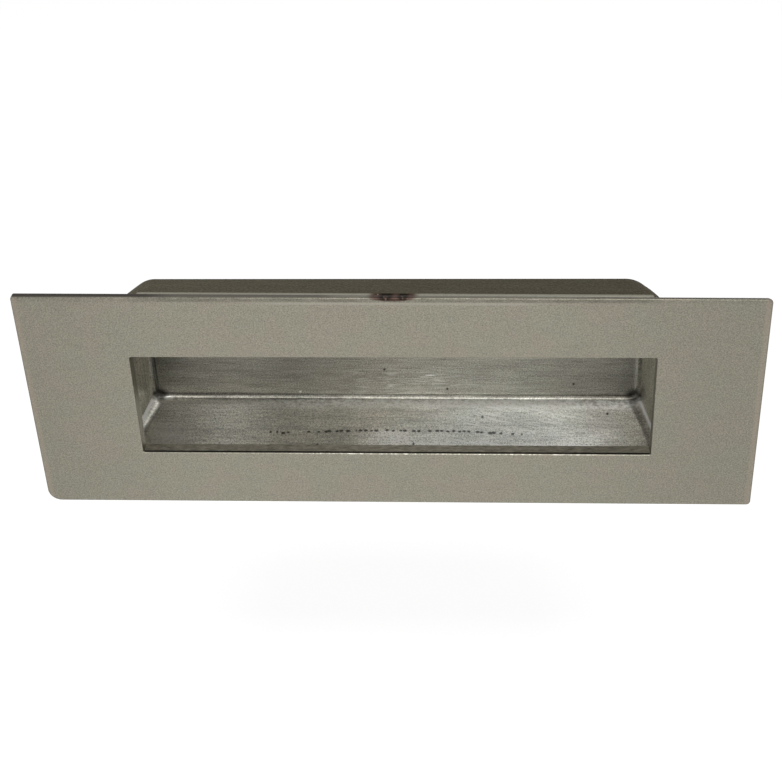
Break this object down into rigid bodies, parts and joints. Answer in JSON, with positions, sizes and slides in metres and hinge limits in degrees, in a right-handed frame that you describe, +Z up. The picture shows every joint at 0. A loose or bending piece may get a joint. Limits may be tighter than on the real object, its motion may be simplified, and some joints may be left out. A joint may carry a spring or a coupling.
{
  "type": "flush pull",
  "caption": "Rectangular recessed flush pull: flat satin plate with a sharp-cornered window and a pressed, slope-walled pan behind it.",
  "frame": {"origin": "centre of the face plate's back plane; the window's middle is 0.3 mm to the right of it and 0.55 mm below", "axes": "+X along the plate to the right as seen by the user, +Y into the door, +Z up"},
  "size_m": [0.1524, 0.026, 0.052],
  "materials": {
    "satin_plate": "satin, fine lengthwise brushing",
    "pressed_pan": "brushed inside, dull dark outside"
  },
  "bodies": {
    "root": {"face_plate": "satin_plate", "pan": "pressed_pan"}
  },
  "joints": []
}
